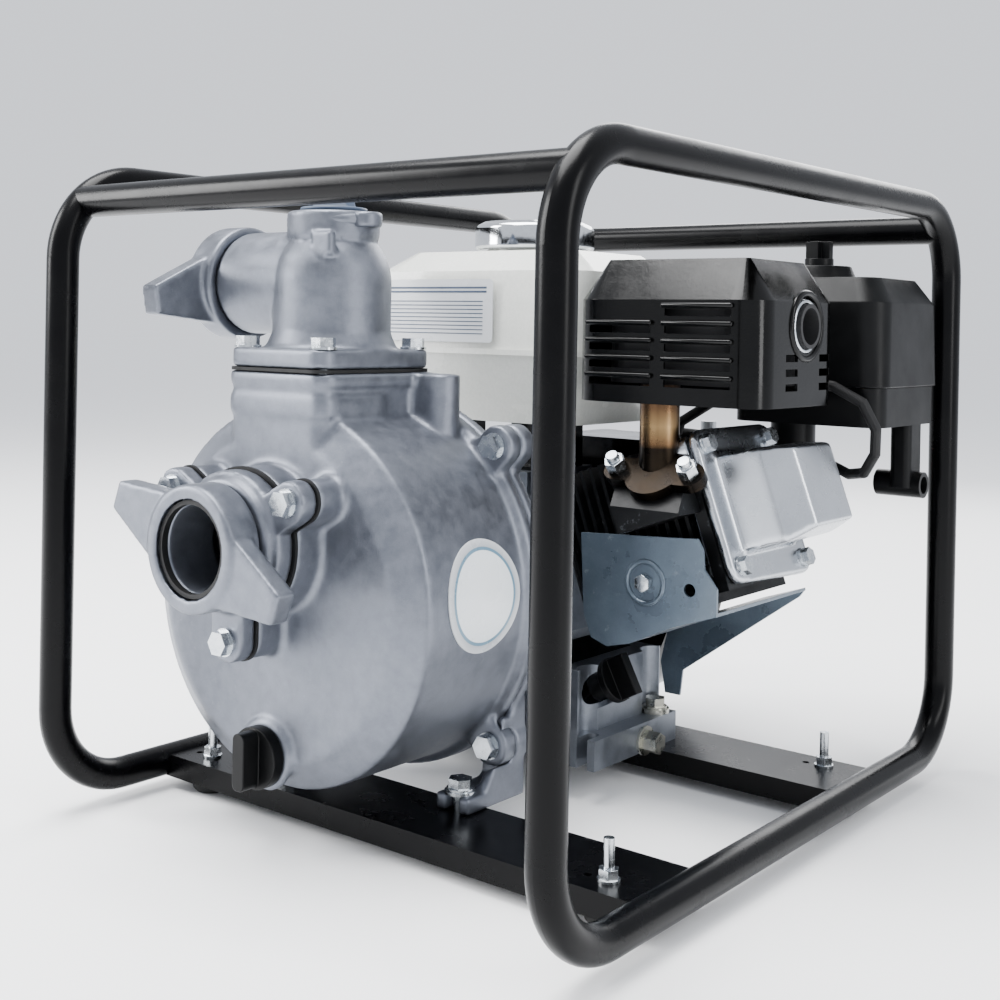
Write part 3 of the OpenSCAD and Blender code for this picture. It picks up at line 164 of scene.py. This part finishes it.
def finish(name, shades, metal, rough, patch_mm=40, grain_mm=1.2, grain_height=0.25,
           rough_swing=0.12, wear=None, wear_amount=0.0, coat=0.0, stretch=(1, 1, 1), dust=0.0,
           shine=0.5):
    """A surface with slow colour drift, fine grain, uneven gloss and a little wear."""
    material = bpy.data.materials.new(name)
    material.use_nodes = True
    tree = material.node_tree
    shader = tree.nodes["Principled BSDF"]
    place = add(tree, "ShaderNodeTexCoord").outputs["Object"]
    grain_place = add(tree, "ShaderNodeMapping", {"Vector": place}, in_Scale=stretch).outputs["Vector"]
    drift = add(tree, "ShaderNodeTexNoise", {"Vector": place},
                in_Scale=per_mm(patch_mm), in_Detail=5.0, in_Roughness=0.6).outputs["Fac"]
    grain = add(tree, "ShaderNodeTexNoise", {"Vector": grain_place},
                in_Scale=per_mm(grain_mm), in_Detail=3.0, in_Roughness=0.65).outputs["Fac"]
    body = ramp(tree, drift, [(0.3, shades[0]), (0.7, shades[1])])
    speck = add(tree, "ShaderNodeMix", {"A": body}, data_type="RGBA", blend_type="MULTIPLY",
                in_Factor=0.22)
    tree.links.new(ramp(tree, grain, [(0.3, 0.55), (0.7, 1.0)]), speck.inputs["B"])
    result = speck.outputs["Result"]
    if wear:
        rub = add(tree, "ShaderNodeTexNoise", {"Vector": place},
                  in_Scale=per_mm(7), in_Detail=8.0, in_Roughness=0.75).outputs["Fac"]
        mask = ramp(tree, rub, [(0.60, 0.0), (0.72, wear_amount)])
        worn = add(tree, "ShaderNodeMix", {"Factor": mask, "A": result}, data_type="RGBA")
        worn.inputs["B"].default_value = colour(wear)
        result = worn.outputs["Result"]
    if dust:
        normal = add(tree, "ShaderNodeNewGeometry").outputs["Normal"]
        up = add(tree, "ShaderNodeSeparateXYZ", {"Vector": normal}).outputs["Z"]
        film = add(tree, "ShaderNodeMath", {0: up, 1: drift}, operation="MULTIPLY", use_clamp=True)
        film_mask = ramp(tree, film.outputs["Value"], [(0.35, 0.0), (0.75, dust)])
        dusty = add(tree, "ShaderNodeMix", {"Factor": film_mask, "A": result}, data_type="RGBA")
        dusty.inputs["B"].default_value = colour("#8c8780")
        result = dusty.outputs["Result"]
    tree.links.new(result, shader.inputs["Base Color"])
    gloss = add(tree, "ShaderNodeMapRange", {"Value": drift}, in_From_Min=0.25, in_From_Max=0.75,
                in_To_Min=max(0.03, rough - rough_swing), in_To_Max=min(1.0, rough + rough_swing))
    tree.links.new(gloss.outputs["Result"], shader.inputs["Roughness"])
    relief = add(tree, "ShaderNodeBump", {"Height": grain}, in_Strength=grain_height,
                 in_Distance=grain_mm / 4000.0)
    swell = add(tree, "ShaderNodeBump", {"Height": drift, "Normal": relief.outputs["Normal"]},
                in_Strength=0.12, in_Distance=patch_mm / 60000.0)
    tree.links.new(swell.outputs["Normal"], shader.inputs["Normal"])
    shader.inputs["Metallic"].default_value = metal
    shader.inputs["Coat Weight"].default_value = coat
    shader.inputs["Specular IOR Level"].default_value = shine
    if coat:
        shader.inputs["Coat Roughness"].default_value = 0.12
    return material


# %% [markdown]
# Powder coat is a thin melted plastic skin, slightly pebbled, with a satin shine. The
# pump end is aluminium cast in sand and bead blasted: grey, matt, with fine pitting.
# Die castings on the engine are smoother and brighter. Zinc plate on bolts is bright
# with a faint haze.

# %% Finishes by slot
FINISHES = {
    "black_powder_coat": finish("satin black powder coat", ("#010102", "#040405"), 0.0, 0.26,
                                patch_mm=30, grain_mm=0.9, grain_height=0.12, rough_swing=0.05,
                                wear="#0d0e10", wear_amount=0.2, shine=0.11),
    "foot_rubber": finish("moulded black rubber", ("#101010", "#191918"), 0.0, 0.7, dust=0.35, shine=0.3),
    "zinc_plated_steel": finish("bright zinc plate", ("#b4bac0", "#d2d6d9"), 1.0, 0.24, patch_mm=5,
                                grain_mm=0.5, grain_height=0.15, wear="#8b8a85", wear_amount=0.4),
    "blasted_aluminium_casting": finish("bead-blasted cast aluminium", ("#686c75", "#787c85"), 0.85, 0.43,
                                        patch_mm=9, grain_mm=0.55, grain_height=0.7,
                                        rough_swing=0.08, wear="#989ca4", wear_amount=0.28),
    "cast_iron_wear_parts": finish("machined cast iron", ("#3b3c3e", "#4b4c4f"), 0.8, 0.5),
    "seal_ceramic": finish("carbon seal face", ("#2a2b2d", "#36373a"), 0.0, 0.35),
    "black_rubber": finish("black sheet rubber", ("#0c0c0d", "#141415"), 0.0, 0.62, patch_mm=15, shine=0.3),
    "grey_blue_plastic": finish("grey-blue moulded plastic", ("#39465a", "#465469"), 0.0, 0.5,
                                grain_mm=0.6, wear="#5d6a7d", wear_amount=0.3, shine=0.4),
    "black_plastic": finish("fine-grained black plastic", ("#040405", "#08090a"), 0.0, 0.38,
                            grain_mm=0.7, grain_height=0.25, dust=0.03, shine=0.14),
    "badge_vinyl": finish("printed vinyl", ("#dfe4e6", "#eceff0"), 0.0, 0.3, coat=0.4,
                          grain_height=0.05),
    "engine_casting": finish("lacquered die-cast aluminium", ("#747981", "#878c94"), 0.85, 0.38,
                             patch_mm=12, grain_mm=0.8, grain_height=0.35, wear="#63666c",
                             wear_amount=0.35),
    "copper_tinted_steel": finish("clear-chromate plate", ("#a9aaa2", "#c6c4b8"), 1.0, 0.3,
                                  patch_mm=6, wear="#6b665c", wear_amount=0.5),
    "forged_steel": finish("ground steel", ("#8a8b8e", "#a0a1a3"), 1.0, 0.28, stretch=(1, 20, 1)),
    "piston_alloy": finish("turned piston alloy", ("#b5b7ba", "#c9cbcd"), 1.0, 0.3, stretch=(20, 1, 1)),
    "black_painted_casting": finish("heatproof black paint on castings", ("#050607", "#0b0c0e"), 0.2,
                                    0.42, patch_mm=14, wear="#8a9097", wear_amount=0.35, shine=0.25),
    "bright_die_casting": finish("bright die-cast aluminium", ("#b6bac0", "#c8ccd1"), 1.0, 0.27,
                                 patch_mm=60, grain_mm=0.7, grain_height=0.15, rough_swing=0.03),
    "blue_grey_paint": finish("satin blue-grey sheet paint", ("#4c5864", "#5c6975"), 0.55, 0.32,
                              patch_mm=32, wear="#a5aeb5", wear_amount=0.4, coat=0.2),
    "heat_tinted_steel": finish("heat-tinted steel", ("#4b4038", "#8b7458"), 1.0, 0.3, patch_mm=16,
                                wear="#2c2620", wear_amount=0.5),
    "muffler_steel": finish("matt heat paint", ("#1c1c1d", "#28282a"), 0.3, 0.6),
    "gloss_black_paint": finish("gloss black sheet paint", ("#010101", "#030303"), 0.0, 0.17,
                                patch_mm=50, grain_mm=2.5, grain_height=0.05, shine=0.2, dust=0.01),
    "cream_painted_steel": finish("warm white sheet paint", ("#d7d9d2", "#e3e4de"), 0.0, 0.24,
                                  patch_mm=70, grain_mm=2.2, grain_height=0.06, coat=0.5, dust=0.1),
    "chromed_cap": finish("polished chrome", ("#c8cbcf", "#dcdfe2"), 1.0, 0.1, rough_swing=0.05,
                          grain_height=0.03),
    "flywheel_iron": finish("cast flywheel iron", ("#55565a", "#6b6c70"), 0.9, 0.45),
    "filter_foam": finish("oiled filter foam", ("#6f6440", "#877a50"), 0.0, 0.9, grain_mm=2.0,
                          grain_height=0.8),
    "lever_steel": finish("plated lever steel", ("#9da1a5", "#b8bbbe"), 1.0, 0.3),
    "plug_ceramic": finish("plated plug shell", ("#c4c2b8", "#d8d6cc"), 0.9, 0.25),
    "red_plastic": finish("red gloss plastic", ("#a51d16", "#bf2a1f"), 0.0, 0.25, coat=0.3),
}


def tint_by_height(material, stops):
    """Lays a colour band over a finish by height in mm, as heat or paint does."""
    tree = material.node_tree
    shader = tree.nodes["Principled BSDF"]
    below = shader.inputs["Base Color"].links[0].from_socket
    place = add(tree, "ShaderNodeTexCoord").outputs["Object"]
    height = add(tree, "ShaderNodeSeparateXYZ", {"Vector": place}).outputs["Z"]
    share = add(tree, "ShaderNodeMapRange", {"Value": height}, in_From_Min=stops[0][0] / 1000,
                in_From_Max=stops[-1][0] / 1000)
    low, high = stops[0][0], stops[-1][0]
    bands = ramp(tree, share.outputs["Result"], [((z - low) / (high - low), shade) for z, shade in stops])
    mixed = add(tree, "ShaderNodeMix", {"A": below, "B": bands}, data_type="RGBA", in_Factor=0.94)
    tree.links.new(mixed.outputs["Result"], shader.inputs["Base Color"])


# The exhaust flange is painted black; above it the pipe goes from straw to brown.
tint_by_height(FINISHES["heat_tinted_steel"], [(200, "#0b0b0c"), (238, "#0f0e0d"), (241, "#5d4630"),
                                                (252, "#8d7350"), (263, "#5b4430"), (280, "#2e2622")])


def badge_rings(material, low, high):
    """A bright rim and a thin line round a plain badge, by distance from its middle."""
    tree = material.node_tree
    shader = tree.nodes["Principled BSDF"]
    place = add(tree, "ShaderNodeTexCoord").outputs["Object"]
    half = [max((b - a) / 2, 0.001) for a, b in zip(low, high)]
    middle = [(a + b) / 2 for a, b in zip(low, high)]
    shifted = add(tree, "ShaderNodeVectorMath", {0: place}, operation="SUBTRACT", in_1=middle)
    scaled = add(tree, "ShaderNodeVectorMath", {0: shifted.outputs["Vector"]}, operation="MULTIPLY",
                 in_1=(0.0, 1 / half[1], 1 / half[2]))
    far = add(tree, "ShaderNodeVectorMath", {0: scaled.outputs["Vector"]},
              operation="LENGTH").outputs["Value"]
    rings = ramp(tree, far, [(0.0, "#e6eaec"), (0.80, "#dde3e6"), (0.81, "#5d7f93"), (0.86, "#5d7f93"),
                             (0.87, "#a9adb2"), (1.0, "#c3c6c9")])
    tree.links.new(rings, shader.inputs["Base Color"])


badge_rings(FINISHES["badge_vinyl"], *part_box("pump_badge"))
node_body = {n: b for b, nodes in frame["record"]["behaviour"]["bodies"].items() for n in nodes}
node_slot = {p["node"]: p["material_slot"] for p in frame["record"]["subparts"]}
for node_name, node_object in frame["nodes"].items():
    node_object.data.materials.clear()
    node_object.data.materials.append(FINISHES[node_slot[node_name]])
print("finishes", len(FINISHES))

# %% [markdown]
# ## Castings with softened edges
# A casting or a pressing never has a knife edge. For pieces whose engineered shape is
# already right, a copy of the mesh is welded, its flat areas are joined, and a small
# bevel rounds the edges. The copy then stands for the node.


# %% Softened copies
MERGE_DISTANCE = 0.00002
FLAT_ANGLE = math.radians(0.6)
EDGE_ANGLE = math.radians(30)
CAST_ANGLE_DEGREES = 75


def ready(piece, node_list, body, slot_name, angle=38, even=False):
    """Gives a finished mesh its finish, its shading and its body, and hides the nodes it stands for."""
    pick_nothing()
    piece.select_set(True)
    bpy.context.view_layer.objects.active = piece
    bpy.ops.object.transform_apply(location=True, rotation=True, scale=True)
    bpy.ops.object.shade_smooth_by_angle(angle=math.radians(angle))
    if even:
        flow = piece.modifiers.new("even_shading", "WEIGHTED_NORMAL")
        flow.keep_sharp = True
        bpy.ops.object.modifier_apply(modifier=flow.name)
    piece.data.materials.clear()
    piece.data.materials.append(FINISHES[slot_name])
    if node_list:
        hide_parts(*node_list)
    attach(piece, body)
    return piece


def merged_copy(node_name, ending):
    """A copy of a node whose loose triangles are joined, left selected in edit mode."""
    piece = bpy.data.objects.new(node_name + ending, frame["nodes"][node_name].data.copy())
    scene.collection.objects.link(piece)
    pick_nothing()
    piece.select_set(True)
    bpy.context.view_layer.objects.active = piece
    bpy.ops.object.mode_set(mode="EDIT")
    bpy.ops.mesh.select_all(action="SELECT")
    bpy.ops.mesh.remove_doubles(threshold=MERGE_DISTANCE)
    return piece


def softened(node_name, radius_mm, slot_name=None, trim=None):
    """A welded copy of a node with rounded edges, standing for the node."""
    piece = merged_copy(node_name, "_finished")
    if trim:
        bpy.ops.mesh.bisect(plane_co=trim[0], plane_no=trim[1], use_fill=True, clear_outer=True)
        bpy.ops.mesh.select_all(action="SELECT")
    bpy.ops.mesh.dissolve_limited(angle_limit=FLAT_ANGLE)
    bpy.ops.object.mode_set(mode="OBJECT")
    edge = piece.modifiers.new("rounding", "BEVEL")
    edge.width = radius_mm / 1000
    edge.segments = 2
    edge.limit_method = "ANGLE"
    edge.angle_limit = EDGE_ANGLE
    edge.use_clamp_overlap = True
    bpy.ops.object.modifier_apply(modifier=edge.name)
    return ready(piece, [node_name], node_body[node_name], slot_name or node_slot[node_name], even=True)


# %% [markdown]
# Sand castings have no sharp corner at all: where a boss meets a wall the metal runs into
# a round fillet. A bevel can't round such inner corners, so these pieces get a new skin
# of small even faces, and the skin is then smoothed until its corners have run together.


# %% Recast copies
def cast(node_name, voxel_mm, passes):
    """A copy of a node with every edge and corner run soft, as molten metal leaves it."""
    piece = merged_copy(node_name, "_cast")
    bpy.ops.object.mode_set(mode="OBJECT")
    skin = piece.modifiers.new("skin", "REMESH")
    skin.mode = "VOXEL"
    skin.voxel_size = voxel_mm / 1000
    bpy.ops.object.modifier_apply(modifier=skin.name)
    soft = piece.modifiers.new("soft", "SMOOTH")
    soft.factor = 0.5
    soft.iterations = passes
    bpy.ops.object.modifier_apply(modifier=soft.name)
    return ready(piece, [node_name], node_body[node_name], node_slot[node_name], CAST_ANGLE_DEGREES)


CASTINGS = {"valve_cover": (1.3, 30), "suction_wing_nut": (1.2, 8), "discharge_wing_nut": (1.2, 8),
            "discharge_elbow": (1.6, 5), "suction_flange": (1.4, 8), "pump_casing": (2.2, 5),
            "rear_cover": (2.2, 5)}
for name, (voxel, passes) in CASTINGS.items():
    made = cast(name, voxel, passes)
    print("cast", name, len(made.data.polygons), "faces")

# %% Which pieces are softened, and by how much
SOFT_EDGES_MM = {
    "crankcase": 1.4, "crankcase_cover": 1.4, "fuel_tank": 4.0, "muffler_guard": 0.8, "cylinder_shroud": 0.5,
    "air_cleaner_cover": 2.5, "air_cleaner_base": 1.2, "air_cleaner_knob": 1.2, "drain_plug": 1.0,
    "priming_plug": 1.0, "dipstick": 1.0, "front_channel": 1.0, "back_channel": 1.0,
    "pump_bolts": 0.5, "foot_studs": 0.4, "engine_bolts": 0.5, "valve_cover_bolts": 0.4,
    "fan_housing": 1.2, "recoil_cover": 0.8, "exhaust_pipe": 0.8, "cylinder_head": 0.5,
    "carburettor": 1.0, "tank_bracket": 0.6, "fuel_cap": 1.0, "exhaust_nuts": 0.4,
}
SHEET_TRIM = ((0.150, 0.0, 0.0), (1.0, 0.0, 0.0))
for name, radius in SOFT_EDGES_MM.items():
    made = softened(name, radius, slot_name="zinc_plated_steel" if name == "exhaust_nuts" else None,
                    trim=SHEET_TRIM if name == "cylinder_shroud" else None)
    print("softened", name, len(made.data.polygons), "faces")

# %% [markdown]
# ## Small pieces made from primitives
# What is left is small and fixed, so each piece starts from one primitive that is
# stretched, has its edges rounded, and is repeated where the real one repeats.


# %% Helper for small pieces
def primitive(kind, name, body, slot_name, place, turn=(0, 0, 0), stretch=(1, 1, 1), copies=None,
              bevel_mm=0.0, **size):
    """One primitive, stretched, optionally bevelled and repeated, then finished."""
    pick_nothing()
    getattr(bpy.ops.mesh, "primitive_" + kind + "_add")(**size)
    piece = bpy.context.object
    piece.name = name
    piece.scale = stretch
    bpy.ops.object.transform_apply(location=False, rotation=False, scale=True)
    if bevel_mm:
        edge = piece.modifiers.new("rounding", "BEVEL")
        edge.width = bevel_mm / 1000
        edge.segments = 3
        bpy.ops.object.modifier_apply(modifier=edge.name)
    if copies:
        repeat = piece.modifiers.new("repeat", "ARRAY")
        repeat.count = copies[0]
        repeat.use_relative_offset = False
        repeat.use_constant_offset = True
        repeat.constant_offset_displace = copies[1]
        bpy.ops.object.modifier_apply(modifier=repeat.name)
    piece.rotation_euler = turn
    piece.location = [v / 1000 for v in place]
    return ready(piece, [], body, slot_name)


root = node_body["muffler_guard"]

# %% [markdown]
# The muffler guard is pressed sheet: each air slot has a rolled lip above it that catches
# the light, and the outlet has a bright inner ring in a black rim.

# %% Guard lips and outlet ring
guard_low, guard_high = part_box("muffler_guard")
gx, gy, gz = (v * 1000 for v in guard_low)
for label, x_mid, count in (("right", gx + 93, 5), ("left", gx + 37, 4)):
    primitive("cube", "guard_lips_" + label, root, "gloss_black_paint", (x_mid, gy - 0.6, gz + 17.6),
              stretch=(0.050, 0.005, 0.0034), copies=(count, (0, 0, 0.011)), bevel_mm=1.6, size=1.0)
primitive("torus", "outlet_ring", root, "zinc_plated_steel", (gx + 134.0, 47, 316), (0, math.pi / 2, 0),
          major_radius=0.0155, minor_radius=0.0016, major_segments=64, minor_segments=12)
primitive("torus", "outlet_rim", root, "gloss_black_paint", (gx + 134.6, 47, 316), (0, math.pi / 2, 0),
          major_radius=0.0205, minor_radius=0.0022, major_segments=64, minor_segments=12)
print("guard lips", gx, gy, gz)

# %% [markdown]
# Behind the valve cover the head is left as cast, with a boss for each cover bolt. The
# cylinder leans by 20 degrees, so a helper turns distances along it into places.

# %% Bare face of the head behind the valve cover
LEAN = math.radians(20)
COVER_BOLTS_MM = [(10, 44), (10, -34), (92, 44), (92, -38)]


def on_cylinder(along, side, up):
    """A point in mm given along the leaning cylinder, across it and up from its axis."""
    return (-59 + along * math.cos(LEAN) - up * math.sin(LEAN), side,
            127.5 + along * math.sin(LEAN) + up * math.cos(LEAN))


primitive("cube", "head_face", root, "bright_die_casting", on_cylinder(199.5, 51, 4), (0, -LEAN, 0),
          stretch=(0.011, 0.098, 0.094), bevel_mm=4.0, size=1.0)
for number, (side, up) in enumerate(COVER_BOLTS_MM):
    primitive("cylinder", "head_boss_" + str(number), root, "bright_die_casting",
              on_cylinder(192, side, up), (0, math.pi / 2 - LEAN, 0), bevel_mm=1.5,
              vertices=40, radius=0.0088, depth=0.025)
print("head face at", on_cylinder(199.5, 51, 4))

# %% [markdown]
# One flanged bolt holds the air shroud, in a shallow round pressing.

# %% Shroud bolt and its pressed pocket
shroud_low, shroud_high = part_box("cylinder_shroud")
primitive("cylinder", "shroud_bolt", root, "zinc_plated_steel", (100, shroud_low[1] * 1000 - 2.6, 155),
          (math.pi / 2, 0, 0), bevel_mm=0.5, vertices=6, radius=0.0058, depth=0.0052)
primitive("torus", "shroud_pocket_rim", root, "blue_grey_paint", (100, shroud_low[1] * 1000 + 0.1, 155),
          (math.pi / 2, 0, 0), major_radius=0.013, minor_radius=0.0018, major_segments=48, minor_segments=10)
print("shroud", list(shroud_low))

# %% [markdown]
# The filling plug screws into an oblong boss with an ear on each side. The data plate is
# blank but for ruled lines.

# %% Oblong boss under the filling plug
plug_low, plug_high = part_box("priming_plug")
elbow_low, elbow_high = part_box("discharge_elbow")
boss_x, boss_y = (plug_low[0] + plug_high[0]) * 500, (plug_low[1] + plug_high[1]) * 500
boss_z = elbow_high[2] * 1000 - 5.5
primitive("torus", "filler_boss", root, "blasted_aluminium_casting", (boss_x, boss_y, boss_z),
          stretch=(1.12, 1.0, 0.9), major_radius=0.0225, minor_radius=0.0052,
          major_segments=64, minor_segments=16)
for side, mark in ((-1, "left"), (1, "right")):
    primitive("cylinder", "filler_boss_ear_" + mark, root, "blasted_aluminium_casting",
              (boss_x + side * 29, boss_y, boss_z), stretch=(1.0, 1.15, 1.0), bevel_mm=2.2,
              vertices=48, radius=0.0085, depth=0.0095)
print("filler boss", boss_x, boss_y, boss_z)

# %% Data plate lines
plate_low, plate_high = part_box("rating_plate")
px, py, pz = (v * 1000 for v in plate_low)
plate_w, plate_h = (plate_high[0] - plate_low[0]) * 1000, (plate_high[2] - plate_low[2]) * 1000
for label, drop, wide, tall, rows in (("head", 6.0, 0.90, 1.4, 2), ("body", 15.5, 0.84, 0.7, 9)):
    primitive("cube", "plate_rules_" + label, root, "grey_blue_plastic",
              (px + plate_w / 2, py - 0.02, pz + plate_h - drop),
              stretch=(plate_w * wide / 1000, 0.0003, tall / 1000),
              copies=(rows, (0, 0, -0.0028)), size=1.0)
print("plate", px, py, pz, plate_w, plate_h)
